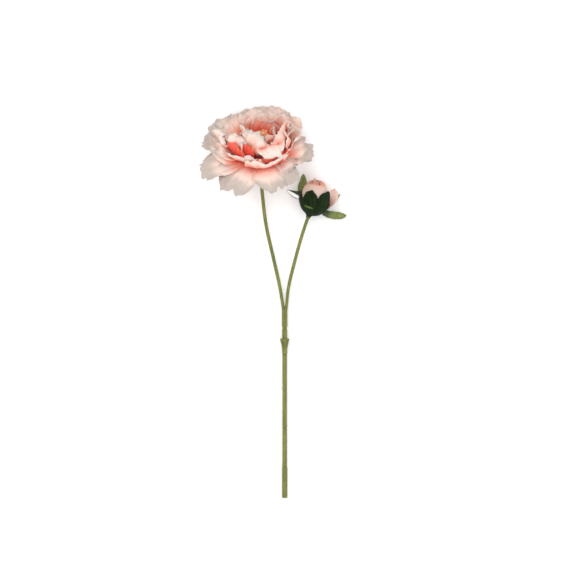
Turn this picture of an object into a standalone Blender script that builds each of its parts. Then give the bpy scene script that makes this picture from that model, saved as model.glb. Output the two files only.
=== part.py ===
"""Cut peony, lying on its side: one open bloom and one bud on a forked stem.

Blender script, metres, +Z up. The sizes below are in millimetres, in the flower's own frame: its origin
is on the surface below the middle of the cut end, +Y runs along the stem to the bloom, and +X is to the
bud's side. At the end the whole flower is moved so that the middle of its box's bottom is the origin.
"""
from functools import partial
import math
import random

import bmesh
import bpy
from mathutils import Matrix, Vector, noise

MM = 0.001

# Stem
STEM_DIAMETER = 5.5
STEM_LENGTH = 171.8
STEM_SIDES = 12
STEM_RISE = math.radians(0.84)      # the collar lifts the stem off the surface
RING_PLACES = (37.3, 65.4, 84.2, 128.5)
RING_DEPTH = 0.35
RING_WIDTH = 2.2

# Collar, whose lip flares round the neck of the fork
COLLAR_DIAMETER = 10.2
COLLAR_FOOT_DIAMETER = 6.0
COLLAR_BOTTOM = 172.1
COLLAR_TOP = 191.2
SOCKET_DEPTH = 7.0

# Fork
NECK_DIAMETER = 5.3
SLEEVE_DIAMETER = 6.3
SEAM_PLACE = 203.8
SLEEVE_TOP = 229.5
BLOOM_BRANCH_DIAMETER = 3.7
BUD_BRANCH_DIAMETER = 3.3
FIT_GAP = 0.3

# Bloom
BLOOM_BASE = (-29.0, 405.4, 38.0)
BLOOM_ELEVATION = 46.0
GUARD_COUNT = 10
HEART_FLOOR = 20.0
PETAL_THICKNESS = 0.8
BLOOM_CUP_DEPTH = 13.0
BLOOM_CUP_RADIUS = 8.2

# Bud
BUD_BASE = (32.9, 338.2, 16.95)
BUD_HEADING = 8.0
BUD_ELEVATION = 4.0
BUD_RADIUS = 16.3
BUD_MIDDLE = 19.0
UPPER_STRETCH = 1.53
UPPER_FULLNESS = 0.75
LOWER_STRETCH = 1.07
NUB_OFFSET = (-3.0, -1.5, -0.6)
SEPAL_RADIUS = 17.8
SEPAL_THICKNESS = 0.8
BUD_NECK = -3.8
NECK_TILT = 12.0
# Azimuth of each sepal's middle, its half width in degrees, its tip up the side, how far it stands out
BUD_SEPALS = ((246, 37, 0.64, 0.5), (323, 57, 0.655, 0.0), (28, 40, 0.60, 0.5), (95, 44, 0.59, 0.0),
              (174, 48, 0.60, 0.3))

LEAF_THICKNESS = 0.8

# Heart
STAMEN_COUNT = 17
STAMEN_TOP = 39.0

CORAL = (0.80, 0.42, 0.34)
PALE_PINK = (0.82, 0.66, 0.59)
STEM_GREEN = (0.26, 0.28, 0.10)
DARK_GREEN = (0.02, 0.05, 0.015)
LEAF_GREEN = (0.15, 0.19, 0.05)
GOLD = (0.75, 0.42, 0.12)


def material(name, color, roughness):
    """A plain material for one finish."""
    found = bpy.data.materials.get(name)
    if found:
        return found
    made = bpy.data.materials.new(name)
    made.use_nodes = True
    shader = made.node_tree.nodes["Principled BSDF"]
    shader.inputs["Base Color"].default_value = (*color, 1.0)
    shader.inputs["Roughness"].default_value = roughness
    shader.inputs["Metallic"].default_value = 0.0
    made.diffuse_color = (*color, 1.0)
    return made


def clear_scene():
    for obj in list(bpy.data.objects):
        bpy.data.objects.remove(obj)


def new_object(name, bm, parent):
    """An object from a bmesh whose points are in millimetres."""
    bmesh.ops.scale(bm, vec=(MM, MM, MM), verts=bm.verts)
    mesh = bpy.data.meshes.new(name)
    bm.to_mesh(mesh)
    bm.free()
    obj = bpy.data.objects.new(name, mesh)
    bpy.context.scene.collection.objects.link(obj)
    obj.parent = parent
    return obj


def empty(name, parent, place, axes):
    """An empty at a place in millimetres, turned to the three axes given."""
    obj = bpy.data.objects.new(name, None)
    bpy.context.scene.collection.objects.link(obj)
    obj.parent = parent
    turn = Matrix(axes).transposed().to_4x4()
    obj.matrix_basis = Matrix.Translation(Vector(place) * MM) @ turn
    return obj


def head_axes(heading, elevation):
    """Axes of a bloom or bud: Z points out of it, Y down behind it, X to the right."""
    turn, rise = math.radians(heading), math.radians(elevation)
    out = Vector((math.sin(turn) * math.cos(rise), math.cos(turn) * math.cos(rise), math.sin(rise)))
    right = Vector((math.cos(turn), -math.sin(turn), 0.0))
    return right, out.cross(right), out


def cubic(points, s):
    """Point and direction at s on a cubic curve with four control points."""
    a, b, c, d = [Vector(p) for p in points]
    r = 1.0 - s
    place = a * r ** 3 + b * 3 * r * r * s + c * 3 * r * s * s + d * s ** 3
    way = (b - a) * r * r + (c - b) * 2 * r * s + (d - c) * s * s
    return place, way.normalized()


def smooth_route(points, steps):
    """Points on a smooth curve through the route's points, with steps to each stretch."""
    ends = [points[0] * 2 - points[1]] + list(points) + [points[-1] * 2 - points[-2]]
    route = []
    for i in range(len(points) - 1):
        a, b, c, d = ends[i:i + 4]
        for step in range(steps):
            t = step / steps
            route.append(0.5 * (b * 2 + (c - a) * t + (a * 2 - b * 5 + c * 4 - d) * t * t
                                + (b * 3 - a - c * 3 + d) * t ** 3))
    return route + [points[-1]]


def tube(name, route, radius, parent):
    """A tube with filled ends along the route."""
    curve = bpy.data.curves.new(name, 'CURVE')
    curve.dimensions = '3D'
    curve.bevel_depth = radius * MM
    curve.bevel_resolution = 2
    curve.use_fill_caps = True
    spline = curve.splines.new('POLY')
    spline.points.add(len(route) - 1)
    for i, place in enumerate(route):
        spline.points[i].co = (*(place * MM), 1.0)
    guide = bpy.data.objects.new(name, curve)
    bpy.context.scene.collection.objects.link(guide)
    bm = bmesh.new()
    bm.from_mesh(guide.to_mesh())
    bpy.data.objects.remove(guide)
    bmesh.ops.remove_doubles(bm, verts=bm.verts, dist=1e-7)
    bmesh.ops.recalc_face_normals(bm, faces=bm.faces)
    bmesh.ops.scale(bm, vec=(1 / MM, 1 / MM, 1 / MM), verts=bm.verts)
    return new_object(name, bm, parent)


def turned(name, profile, sides, parent):
    """A solid turned about Z from (radius, height) points that start and end on the axis."""
    bm = bmesh.new()
    points = [bm.verts.new((radius, 0.0, height)) for radius, height in profile]
    edges = [bm.edges.new(pair) for pair in zip(points, points[1:])]
    bmesh.ops.spin(bm, geom=points + edges, cent=(0, 0, 0), axis=(0, 0, 1), angle=2 * math.pi,
                   steps=sides, use_merge=True)
    bmesh.ops.remove_doubles(bm, verts=bm.verts, dist=1e-4)
    bmesh.ops.recalc_face_normals(bm, faces=bm.faces)
    return new_object(name, bm, parent)


def baked_bmesh(obj):
    """The object's finished shape as a bmesh in metres, in its own space."""
    graph = bpy.context.evaluated_depsgraph_get()
    bm = bmesh.new()
    bm.from_mesh(obj.evaluated_get(graph).to_mesh())
    return bm


def largest_shell(bm):
    """Delete every shell but the largest, which drops scraps and fills sealed pockets."""
    left = set(bm.verts)
    shells = []
    while left:
        seed = left.pop()
        shell, edge = {seed}, [seed]
        while edge:
            for link in edge.pop().link_edges:
                for vert in link.verts:
                    if vert not in shell:
                        shell.add(vert)
                        edge.append(vert)
        left -= shell
        shells.append(shell)
    shells.sort(key=len)
    for shell in shells[:-1]:
        bmesh.ops.delete(bm, geom=list(shell), context='VERTS')


def fuse(core, pieces):
    """Join the pieces to the core with one Boolean union on their collection."""
    group = bpy.data.collections.new(core.name + "_pieces")
    bpy.context.scene.collection.children.link(group)
    for piece in pieces:
        bpy.context.scene.collection.objects.unlink(piece)
        group.objects.link(piece)
    union = core.modifiers.new("union", 'BOOLEAN')
    union.operation = 'UNION'
    union.solver = 'MANIFOLD'
    union.operand_type = 'COLLECTION'
    union.collection = group
    bm = baked_bmesh(core)
    core.modifiers.remove(union)
    for piece in pieces:
        bpy.data.objects.remove(piece)
    bpy.data.collections.remove(group)
    largest_shell(bm)
    bm.to_mesh(core.data)
    bm.free()


def petal_half_width(petal, v):
    """Half the petal's width at v of its length: a narrow claw, widest near the tip."""
    widest = petal.get("widest", 0.74)
    claw = petal.get("claw", 0.18)
    share = claw + (1 - claw) * math.sin(math.pi / 2 * min(1.0, v / widest)) ** 1.2
    if v > widest:
        share *= 1 - (1 - petal.get("tip_width", 0.72)) * ((v - widest) / (1 - widest)) ** 2
    return petal["width"] / 2 * share


def petal_point(petal, u, v):
    """Point of a petal's middle surface, u from -1 to 1 across and v from 0 to 1 along it.

    The midrib is a cubic curve in (radius, height) about the head's axis. The blade is cupped
    across, waved towards its rim and crumpled, with a notch and a ragged line at the tip.
    """
    seed = petal["seed"]
    half = petal_half_width(petal, v)
    reach = 1 - petal.get("round", 0.15) * abs(u) ** 2.6 * v
    reach -= petal.get("notch", 0.05) * math.exp(-((u - petal["notch_at"]) / 0.15) ** 2) * v ** 4
    reach += 0.020 * math.sin(6.5 * u + seed) * v ** 3
    s = v * reach
    rib, way = cubic(petal["rib"], s)
    normal = Vector((-way.y, way.x))
    rim = min(1.3, math.hypot(u * half / (petal["width"] / 2) * 0.8, s))
    wave_angle = petal["waves"] * math.atan2(u * half, 8 + 50 * s)
    lift = petal["ruffle"] * max(0.0, rim - 0.2) ** 1.7
    lift *= math.sin(wave_angle + seed * 1.7) + 0.4 * math.sin(2.3 * wave_angle + seed * 3.1 + 2 * s)
    place = Vector((u * 1.2 + seed * 3.7, s * 1.9, seed * 1.3))
    crumple = petal["crumple"] * rim
    lift += crumple * noise.noise(place)
    lift += 0.45 * crumple * noise.noise(place * 2.3 + Vector((3.3, 1.7, 8.2)))
    azimuth = math.radians(petal["azimuth"] + petal.get("lean", 0.0) * v)
    bend = math.radians(petal["cup"]) * (0.4 + 0.6 * v) + 1e-4
    across = half * math.sin(bend * u) / bend
    across += 0.6 * crumple * noise.noise(place + Vector((9.1, 4.2, 1.1)))
    lift += half * (1 - math.cos(bend * u)) / bend
    twist = math.radians(petal.get("twist", 0.0)) * v
    side = across * math.cos(twist) - lift * math.sin(twist)
    lift = across * math.sin(twist) + lift * math.cos(twist)
    out = rib.x + normal.x * lift
    return Vector((out * math.cos(azimuth) - side * math.sin(azimuth),
                   out * math.sin(azimuth) + side * math.cos(azimuth),
                   rib.y + normal.y * lift))


def blade(name, point, across, along, thickness, parent):
    """A thin solid blade: a grid bent to point(u, v), triangulated alike on both faces."""
    bm = bmesh.new()
    bmesh.ops.create_grid(bm, x_segments=across, y_segments=along, size=1.0)
    bmesh.ops.triangulate(bm, faces=bm.faces, quad_method='ALTERNATE')
    for vert in bm.verts:
        vert.co = point(vert.co.x, (vert.co.y + 1) / 2)
    obj = new_object(name, bm, parent)
    solid = obj.modifiers.new("thickness", 'SOLIDIFY')
    solid.thickness = thickness * MM
    solid.offset = 0.0
    return obj


def above_surface(frame, place):
    """The place in a head's frame, kept above the surface that the flower lies on."""
    world = frame @ place
    rest = PETAL_THICKNESS / 2 + 0.05
    if world.z < rest:
        world.z = rest + 0.02 * (world.z - rest)
    return frame.inverted() @ world


def frame_in_mm(head):
    """The head's frame in the flower, in millimetres."""
    frame = head.matrix_basis.copy()
    frame.translation = frame.translation / MM
    return frame


def petal_object(name, petal, across, along, thickness, head):
    frame = frame_in_mm(head)
    return blade(name, lambda u, v: above_surface(frame, petal_point(petal, u, v)),
                 across, along, thickness, head)


def bloom_petal_list():
    """Every petal of the bloom, from the drooping guard petals in to the heart.

    Azimuth 0 is to the right, 90 is behind and 270 is in front. Each row of a layer gives the
    azimuth, how far out and how high the tip reaches, and the width.
    """
    draw = random.Random(5)
    petals = []

    def add(azimuth, rib, width, **shape):
        petals.append(dict(azimuth=azimuth, rib=rib, width=width, seed=draw.uniform(0, 20),
                           notch_at=draw.uniform(-0.4, 0.4), **shape))

    guard = dict(cup=-10, ruffle=3.4, waves=10, crumple=3.5, notch=0.06, tip_width=0.76, round=0.2)
    for azimuth, out, up, width in ((200, 74, 1, 54), (241, 69, -2, 56), (284, 63, -2, 50), (320, 59, 4, 46),
                                    (2, 62, 8, 46), (38, 64, 10, 46), (70, 69, 8, 50), (108, 71, 8, 52),
                                    (140, 72, 10, 48), (167, 73, 9, 42)):
        arch = 12 if math.sin(math.radians(azimuth)) < -0.2 else 9
        add(azimuth, ((5, 1), (24, arch), (0.7 * out, arch), (out, up)), width, **guard)

    second = dict(cup=-2, ruffle=3.2, waves=11, crumple=3.6, notch=0.05, tip_width=0.78)
    for azimuth, out, up, width in ((214, 58, 14, 42), (336, 52, 14, 40), (14, 56, 18, 42), (46, 58, 24, 42),
                                    (88, 60, 26, 44), (124, 64, 28, 46), (152, 68, 27, 46), (178, 64, 19, 42)):
        add(azimuth, ((6, 4), (24, 14), (0.68 * out, 0.75 * up + 3), (out, up)), width, **second)

    bowl = dict(notch=0.05, tip_width=0.86, waves=9)
    add(216, ((8, 8), (26, 12), (38, 20), (40, 37)), 54, cup=56, ruffle=2.2, crumple=3.0, **bowl)
    add(256, ((8, 8), (24, 12), (34, 18), (36, 30)), 36, cup=40, ruffle=2.2, crumple=3.0, **bowl)
    add(300, ((8, 7), (26, 10), (41, 16), (42, 32)), 60, cup=60, ruffle=2.4, crumple=3.0, **bowl)
    add(343, ((8, 8), (28, 12), (40, 20), (45, 38)), 46, cup=36, ruffle=2.6, crumple=3.4, **bowl)
    rear = dict(notch=0.05, tip_width=0.86, waves=12, ruffle=3.2)
    for azimuth, out, up, width in ((14, 48, 36, 42), (42, 53, 35, 42), (72, 52, 36, 44), (100, 52, 37, 46),
                                    (126, 57, 36, 46), (150, 64, 32, 46), (180, 52, 33, 42)):
        add(azimuth, ((8, 8), (27, 15), (0.76 * out, 0.68 * up), (out, up)), width, cup=24, crumple=3.8,
            twist=draw.uniform(-9, 9), lean=draw.uniform(-6, 6), **rear)

    for azimuth, out, up, width in ((0, 38, 43, 34), (34, 42, 43, 38), (70, 42, 43, 42), (108, 43, 43, 44),
                                    (150, 47, 39, 44)):
        add(azimuth, ((8, 10), (20, 20), (0.8 * out, 0.72 * up), (out, up)), width, cup=30, crumple=4.4,
            twist=draw.uniform(-12, 12), lean=draw.uniform(-6, 6), **rear)

    crown = dict(notch=0.05, tip_width=0.84, waves=9, ruffle=2.6, crumple=4.8)
    add(246, ((8, 10), (26, 16), (34, 46), (8, 53)), 42, cup=50, twist=-6, **crown)
    add(214, ((8, 10), (32, 18), (40, 46), (17, 51)), 38, cup=46, twist=10, **crown)
    add(186, ((10, 10), (40, 16), (50, 42), (30, 46)), 40, cup=40, twist=-6, **crown)
    add(274, ((6, 12), (20, 16), (28, 36), (16, 44)), 26, cup=40, twist=30, **crown)
    add(297, ((6, 12), (20, 34), (22, 60), (37, 39)), 36, cup=-24, twist=4, **crown)
    add(328, ((6, 12), (28, 22), (36, 46), (18, 53)), 34, cup=40, twist=-14, **crown)
    add(348, ((8, 10), (32, 16), (40, 42), (28, 52)), 30, cup=30, twist=34, **crown)
    add(10, ((8, 10), (28, 16), (34, 42), (28, 52)), 28, cup=30, twist=-38, **crown)
    add(32, ((8, 10), (26, 18), (34, 40), (34, 52)), 28, cup=30, twist=32, **crown)

    inner = dict(notch=0.06, tip_width=0.84, waves=12, ruffle=3.0, crumple=4.4, cup=34)
    for azimuth, out, up, width in ((345, 14, 48, 22), (15, 18, 46, 24), (50, 24, 45, 28), (85, 28, 44, 32),
                                    (118, 28, 45, 32), (150, 26, 46, 30), (186, 18, 47, 26), (240, 9, 46, 24),
                                    (300, 9, 46, 24)):
        add(azimuth, ((4, 12), (14, 22), (0.8 * out + 6, 0.75 * up), (out, up)), width,
            twist=draw.uniform(-22, 22), **inner)
    return petals


def bloom_petals(head):
    """The bloom's petals, with their claws joined in a small core."""
    profile = ((0, -0.5), (8, -0.5), (11, 2), (13, 6), (14, 10), (13, 15), (9.5, 19), (0, HEART_FLOOR))
    core = turned("bloom_petals", profile, 12, head)
    blades = []
    for i, petal in enumerate(bloom_petal_list()):
        across, along = (4, 4) if i < GUARD_COUNT else (4, 3) if petal["width"] >= 40 else (3, 3)
        blades.append(petal_object(f"petal_{i}", petal, across, along, PETAL_THICKNESS, head))
    fuse(core, blades)
    core.data.materials.append(material("petal fabric", CORAL, 0.85))
    return core


def stamens(head):
    """The gold tuft in the heart: leaning filaments with a fat anther each, on a small button."""
    foot = HEART_FLOOR + FIT_GAP
    core = turned("stamens", ((0, foot), (3.4, foot), (3.0, foot + 2.5), (0, foot + 3.2)), 8, head)
    filaments = []
    for i in range(STAMEN_COUNT):
        turn = i * math.radians(137.5)
        out = 6.2 * math.sqrt((i + 0.5) / STAMEN_COUNT)
        up = STAMEN_TOP - 0.05 * out ** 2 - 1.6 * (i % 3)
        start = Vector((0.35 * out * math.cos(turn), 0.35 * out * math.sin(turn), foot + 1.0))
        end = Vector((out * math.cos(turn), out * math.sin(turn), up))
        bm = bmesh.new()
        rings = ((0.0, 0.45), (0.84, 0.4), (0.9, 0.8), (1.0, 0.5))
        for share, radius in rings:
            place = start.lerp(end, share)
            bmesh.ops.create_circle(bm, segments=4, radius=radius, matrix=Matrix.Translation(place))
        bm.verts.ensure_lookup_table()
        bmesh.ops.bridge_loops(bm, edges=bm.edges)
        bmesh.ops.holes_fill(bm, edges=bm.edges)
        bmesh.ops.recalc_face_normals(bm, faces=bm.faces)
        filaments.append(new_object(f"filament_{i}", bm, head))
    fuse(core, filaments)
    core.data.materials.append(material("stamen gold", GOLD, 0.8))
    return core


def bloom_calyx(head):
    """The green cup under the bloom, with five sepals and a socket for its branch."""
    bore = BLOOM_BRANCH_DIAMETER / 2 + FIT_GAP
    floor = -BLOOM_CUP_DEPTH + 5.0
    profile = ((0, floor), (bore, floor), (bore, -BLOOM_CUP_DEPTH), (bore + 1.0, -BLOOM_CUP_DEPTH),
               (bore + 1.3, -9.0), (5.6, -5.0), (BLOOM_CUP_RADIUS, -2.2), (BLOOM_CUP_RADIUS, -0.8), (0, -0.8))
    core = turned("bloom_calyx", profile, 12, head)
    sepals = []
    for i in range(5):
        sepal = dict(azimuth=234 + 72 * i, rib=((6, -3.4), (12, -4.4), (18, -3.0), (24, -0.5)), width=13, claw=0.6,
                     cup=-14, ruffle=0.5, waves=6, crumple=0.6, notch=0.0, notch_at=0.0, tip_width=0.3,
                     widest=0.45, seed=3.0 * i)
        sepals.append(petal_object(f"sepal_{i}", sepal, 3, 4, SEPAL_THICKNESS, head))
    fuse(core, sepals)
    core.data.materials.append(material("calyx green", DARK_GREEN, 0.6))
    return core


def bud_side(radius, share):
    """Point on the bud's side, a share of half a turn from its foot, for an egg of that radius."""
    turn = math.pi * share
    if share > 0.5:
        bulge = max(0.0, math.sin(turn)) ** UPPER_FULLNESS
        return Vector((radius * bulge, BUD_MIDDLE - UPPER_STRETCH * radius * math.cos(turn)))
    return Vector((radius * math.sin(turn), BUD_MIDDLE - LOWER_STRETCH * radius * math.cos(turn)))


def bud_petal_point(petal, u, v):
    """Point of a petal wrapped round the bud, from near its foot to petal["last"] up its side."""
    half = petal_half_width(petal, v)
    share = 0.1 + (petal["last"] - 0.1) * v * (1 - 0.10 * u * u * v)
    grown = min(1.0, v / 0.35)
    radius = petal["root"] + (petal["radius"] - petal["root"]) * grown + 0.25 * math.sin(5 * u + petal["azimuth"]) * v
    place = bud_side(radius, share)
    azimuth = math.radians(petal["azimuth"]) + max(-1.5, min(1.5, u * half / max(place.x, 1.0)))
    return Vector((place.x * math.cos(azimuth), place.x * math.sin(azimuth), place.y))


def bud_petals(head):
    """The closed bud: wrapped petals over an egg-shaped core, with a small pointed tip."""
    core_radius = BUD_RADIUS - 3.1
    profile = [tuple(bud_side(core_radius, i / 8)) for i in range(9)]
    core = turned("bud_petals", profile, 12, head)
    wrapped = []
    for azimuth, inset, last, width in ((258, 0.0, 0.82, 40), (20, 0.0, 0.88, 36), (140, 0.0, 0.86, 38),
                                        (320, 1.6, 0.94, 32), (80, 1.6, 0.94, 32), (200, 1.6, 0.94, 32)):
        petal = dict(azimuth=azimuth, last=last, width=width, root=core_radius - 1.5, radius=BUD_RADIUS - inset,
                     claw=0.35, tip_width=0.75)
        wrapped.append(blade(f"bud_petal_{azimuth}", partial(bud_petal_point, petal), 4, 4, PETAL_THICKNESS, head))
    top = BUD_MIDDLE + UPPER_STRETCH * BUD_RADIUS
    nub = turned("nub", ((0, top - 4), (3.2, top - 3), (1.3, top + 0.4), (0, top + 2.2)), 6, head)
    nub.location = Vector(NUB_OFFSET) * MM
    wrapped.append(nub)
    fuse(core, wrapped)
    core.data.materials.append(material("bud petal fabric", PALE_PINK, 0.85))
    return core


def sepal_edge(azimuth):
    """How far up the bud's side the calyx reaches at an azimuth, and how far it stands out there."""
    reach, stand = 0.44, 0.0
    for centre, half, tip, out in BUD_SEPALS:
        off = abs((azimuth - centre + 180) % 360 - 180) / half
        if off < 1:
            lobe = 0.40 + (tip - 0.40) * math.cos(math.pi / 2 * off) ** 0.45
            if lobe > reach:
                reach, stand = lobe, out
    return reach, stand


def neck_turn(unit):
    """The turn about the middle of the bud's cup that puts the neck off to its left side."""
    middle = Vector((0.0, 0.0, BUD_MIDDLE)) * unit
    return (Matrix.Translation(middle) @ Matrix.Rotation(math.radians(NECK_TILT), 4, 'Y')
            @ Matrix.Translation(-middle))


def bud_calyx(head):
    """The dark cup of five broad sepals that holds the bud, on a neck with the branch's socket."""
    columns, rows = 30, 6
    bm = bmesh.new()
    line = [bm.verts.new((row, 0.0, 0.0)) for row in range(rows + 1)]
    edges = [bm.edges.new(pair) for pair in zip(line, line[1:])]
    bmesh.ops.spin(bm, geom=line + edges, cent=(0, 0, 0), axis=(0, 0, 1), angle=2 * math.pi, steps=columns,
                   use_merge=True)
    bmesh.ops.remove_doubles(bm, verts=bm.verts, dist=1e-4)
    bmesh.ops.triangulate(bm, faces=bm.faces)
    for vert in bm.verts:
        azimuth = math.atan2(vert.co.y, vert.co.x)
        v = math.hypot(vert.co.x, vert.co.y) / rows
        reach, stand = sepal_edge(math.degrees(azimuth))
        place = bud_side(SEPAL_RADIUS + stand * v, reach * v)
        vert.co = (place.x * math.cos(azimuth), place.x * math.sin(azimuth), place.y)
    bmesh.ops.recalc_face_normals(bm, faces=bm.faces)
    calyx = new_object("bud_calyx", bm, head)
    wall = calyx.modifiers.new("thickness", 'SOLIDIFY')
    wall.thickness = SEPAL_THICKNESS * MM
    wall.offset = 0.0
    foot = bud_side(SEPAL_RADIUS, 0.0).y
    bore = BUD_BRANCH_DIAMETER / 2 + FIT_GAP
    ceiling = foot - 1.0
    profile = ((0, ceiling), (bore, ceiling), (bore, BUD_NECK), (bore + 0.65, BUD_NECK), (bore + 1.2, foot - 0.6),
               (bore + 1.2, foot + 0.35), (0, foot))
    neck = turned("bud_neck", profile, 10, head)
    neck.matrix_basis = neck_turn(MM)
    fuse(calyx, [neck])
    calyx.modifiers.remove(wall)
    calyx.data.materials.append(material("calyx green", DARK_GREEN, 0.6))
    return calyx


def leaf(name, rib, root_across, tip_across, width, root_share, blunt, fold, parent):
    """A small leaf along a rib of four control points, turning from root_across to tip_across.

    Its half width starts at root_share of the full one and tapers from blunt of its length on.
    """
    def point(u, v):
        place, way = cubic(rib, v)
        turned_by = max(0.0, min(1.0, (v - 0.2) / 0.5))
        across = root_across.lerp(tip_across, turned_by * turned_by * (3 - 2 * turned_by))
        side = (across - way * across.dot(way)).normalized()
        up = side.cross(way)
        swell = root_share + (1 - root_share) * math.sin(math.pi / 2 * min(1.0, v / 0.5))
        half = width / 2 * swell * (1 - 0.97 * max(0.0, (v - blunt) / (1 - blunt)) ** 2.2)
        lift = fold * turned_by
        return place + side * (u * half * math.cos(lift)) + up * (abs(u) * half * math.sin(lift))

    obj = blade(name, point, 4, 7, LEAF_THICKNESS, parent)
    obj.data.materials.append(material("leaf green", LEAF_GREEN, 0.65))
    return obj


def bud_leaves(flower, bud):
    """The back, left and right leaf of the bud, each seated on the calyx with a small gap."""
    frame = frame_in_mm(bud)
    seat = SEPAL_RADIUS + SEPAL_THICKNESS + FIT_GAP + 0.1

    def on_calyx(azimuth, share, off=0.0):
        turn = math.radians(azimuth)
        place = bud_side(seat + off, share)
        return frame @ Vector((place.x * math.cos(turn), place.x * math.sin(turn), place.y))

    root = on_calyx(152, 0.42, 0.1)
    along = (on_calyx(152, 0.44, 0.1) - root).normalized()
    around = (on_calyx(150, 0.42, 0.1) - root).normalized()
    leaf("bud_leaf_back", (root, root + along * 9, Vector((20.3, 371, 2.6)), Vector((22.4, 388.4, 11))),
         around, Vector((1, 0, 0.1)), 10.4, 0.4, 0.6, math.radians(12), flower)
    root = on_calyx(186, 0.535, -0.25)
    along = (on_calyx(186, 0.55) - on_calyx(186, 0.52)).normalized()
    leaf("bud_leaf_left", (root, root + Vector((-4.5, 1.0, 1.0)), Vector((7.0, 365.8, 21.5)), Vector((2.6, 369, 21))),
         along, along, 9.5, 1.0, 0.1, math.radians(20), flower)
    root = on_calyx(32, 0.275, 0.3)
    along = (on_calyx(32, 0.29) - on_calyx(32, 0.27)).normalized()
    leaf("bud_leaf_right", (root, root + Vector((8.0, -3.5, -0.5)), Vector((63, 337.6, 10)), Vector((73.9, 338.4, 8))),
         -along, Vector((0.05, -1, 0.2)), 9.6, 0.75, 0.55, math.radians(12), flower)


def bud_side_petal(head):
    """The loose petal at the right of the bud, with its narrow sepal outside it, both at the calyx."""
    seat = SEPAL_RADIUS + SEPAL_THICKNESS + FIT_GAP
    petal = dict(azimuth=3, rib=(tuple(bud_side(seat + 0.3, 0.39)), (23.8, 15.0), (25.6, 26), (22.0, 35.8)), width=11.6,
                 claw=0.45, cup=24, ruffle=0.5, waves=7, crumple=0.5, notch=0.04, notch_at=0.2, tip_width=0.78,
                 twist=84, seed=4.0)
    pink = petal_object("bud_side_petal", petal, 4, 5, PETAL_THICKNESS, head)
    pink.data.materials.append(material("bud petal fabric", PALE_PINK, 0.85))
    sepal = dict(azimuth=19, rib=(tuple(bud_side(seat, 0.34)), (21.5, 13), (25.5, 22), (28.4, 32)), width=5, claw=0.5,
                 cup=20, ruffle=0.0, waves=5, crumple=0.0, notch=0.0, notch_at=0.0, tip_width=0.35, widest=0.5,
                 seed=2.0)
    green = petal_object("bud_side_sepal", sepal, 3, 5, SEPAL_THICKNESS, head)
    green.data.materials.append(material("leaf green", LEAF_GREEN, 0.65))


def stem_axis(place):
    """Middle of the stem at a distance from the cut end."""
    return Vector((0.0, place * math.cos(STEM_RISE), STEM_DIAMETER / 2 + place * math.sin(STEM_RISE)))


def along_stem(obj):
    """Lay a solid that was turned about Z along the stem's axis, its height 0 at the cut end."""
    obj.location = stem_axis(0.0) * MM
    obj.rotation_euler = (-math.pi / 2 + STEM_RISE, 0.0, 0.0)


def main_stem(flower):
    """The straight lower stem, with a shallow groove and swelling at each joint ring."""
    radius = STEM_DIAMETER / 2
    profile = [(0, 0), (radius - 0.25, 0), (radius, 0.4)]
    for place in RING_PLACES:
        groove = radius - RING_DEPTH
        profile += [(radius, place - RING_WIDTH), (groove, place - 0.5), (groove, place + 0.4),
                    (radius + 0.2, place + 1.2), (radius, place + 1.2 + RING_WIDTH)]
    profile += [(radius, STEM_LENGTH - 1.0), (radius - 0.4, STEM_LENGTH), (0, STEM_LENGTH)]
    stem = turned("main_stem", profile, STEM_SIDES, flower)
    along_stem(stem)
    stem.data.materials.append(material("stem green", STEM_GREEN, 0.55))
    return stem


def stem_collar(flower):
    """The collar: a tapered body with a flared lip and a socket for the fork's neck."""
    lip = COLLAR_DIAMETER / 2
    foot = COLLAR_FOOT_DIAMETER / 2
    bore = NECK_DIAMETER / 2 + FIT_GAP
    floor = COLLAR_TOP - SOCKET_DEPTH
    profile = ((0, COLLAR_BOTTOM), (foot - 0.5, COLLAR_BOTTOM), (foot, COLLAR_BOTTOM + 1.2),
               (foot + 0.2, COLLAR_BOTTOM + 7.0), (lip - 0.9, COLLAR_TOP - 3.0), (lip, COLLAR_TOP - 1.2),
               (lip - 0.3, COLLAR_TOP), (bore + 0.5, COLLAR_TOP), (bore, COLLAR_TOP - 1.0), (bore, floor), (0, floor))
    collar = turned("stem_collar", profile, STEM_SIDES, flower)
    along_stem(collar)
    collar.data.materials.append(material("stem green", STEM_GREEN, 0.55))
    return collar


def branch_routes(bloom_frame, bud_frame):
    """Routes of the two branches, from inside the fork's sleeve to their sockets."""
    split = stem_axis(SLEEVE_TOP - 11.0)
    bloom_neck = [bloom_frame @ Vector((0, 0, -BLOOM_CUP_DEPTH + up)) for up in (-9.0, -2.0, 4.7)]
    bud_foot = bud_side(SEPAL_RADIUS, 0.0).y - 1.0 - FIT_GAP
    neck_frame = bud_frame @ neck_turn(1.0)
    bud_neck = [neck_frame @ Vector((0, 0, up)) for up in (BUD_NECK - 6.0, BUD_NECK - 1.0, bud_foot)]
    bloom_route = [split + Vector((-1.2, 0, 0)), Vector((-2.0, 232.5, 6.2)), Vector((-6.0, 257.4, 7.0)),
                   Vector((-13.0, 284.9, 8.5)), Vector((-21.8, 326.3, 11.8)), Vector((-26.6, 363.0, 17.0)),
                   *bloom_neck]
    bud_route = [split + Vector((1.3, 0, 0)), Vector((1.9, 232.5, 6.2)), Vector((4.3, 253.2, 7.0)),
                 Vector((11.2, 279.4, 8.8)), Vector((20.2, 311.0, 12.6)), *bud_neck]
    return bloom_route, bud_route


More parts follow.
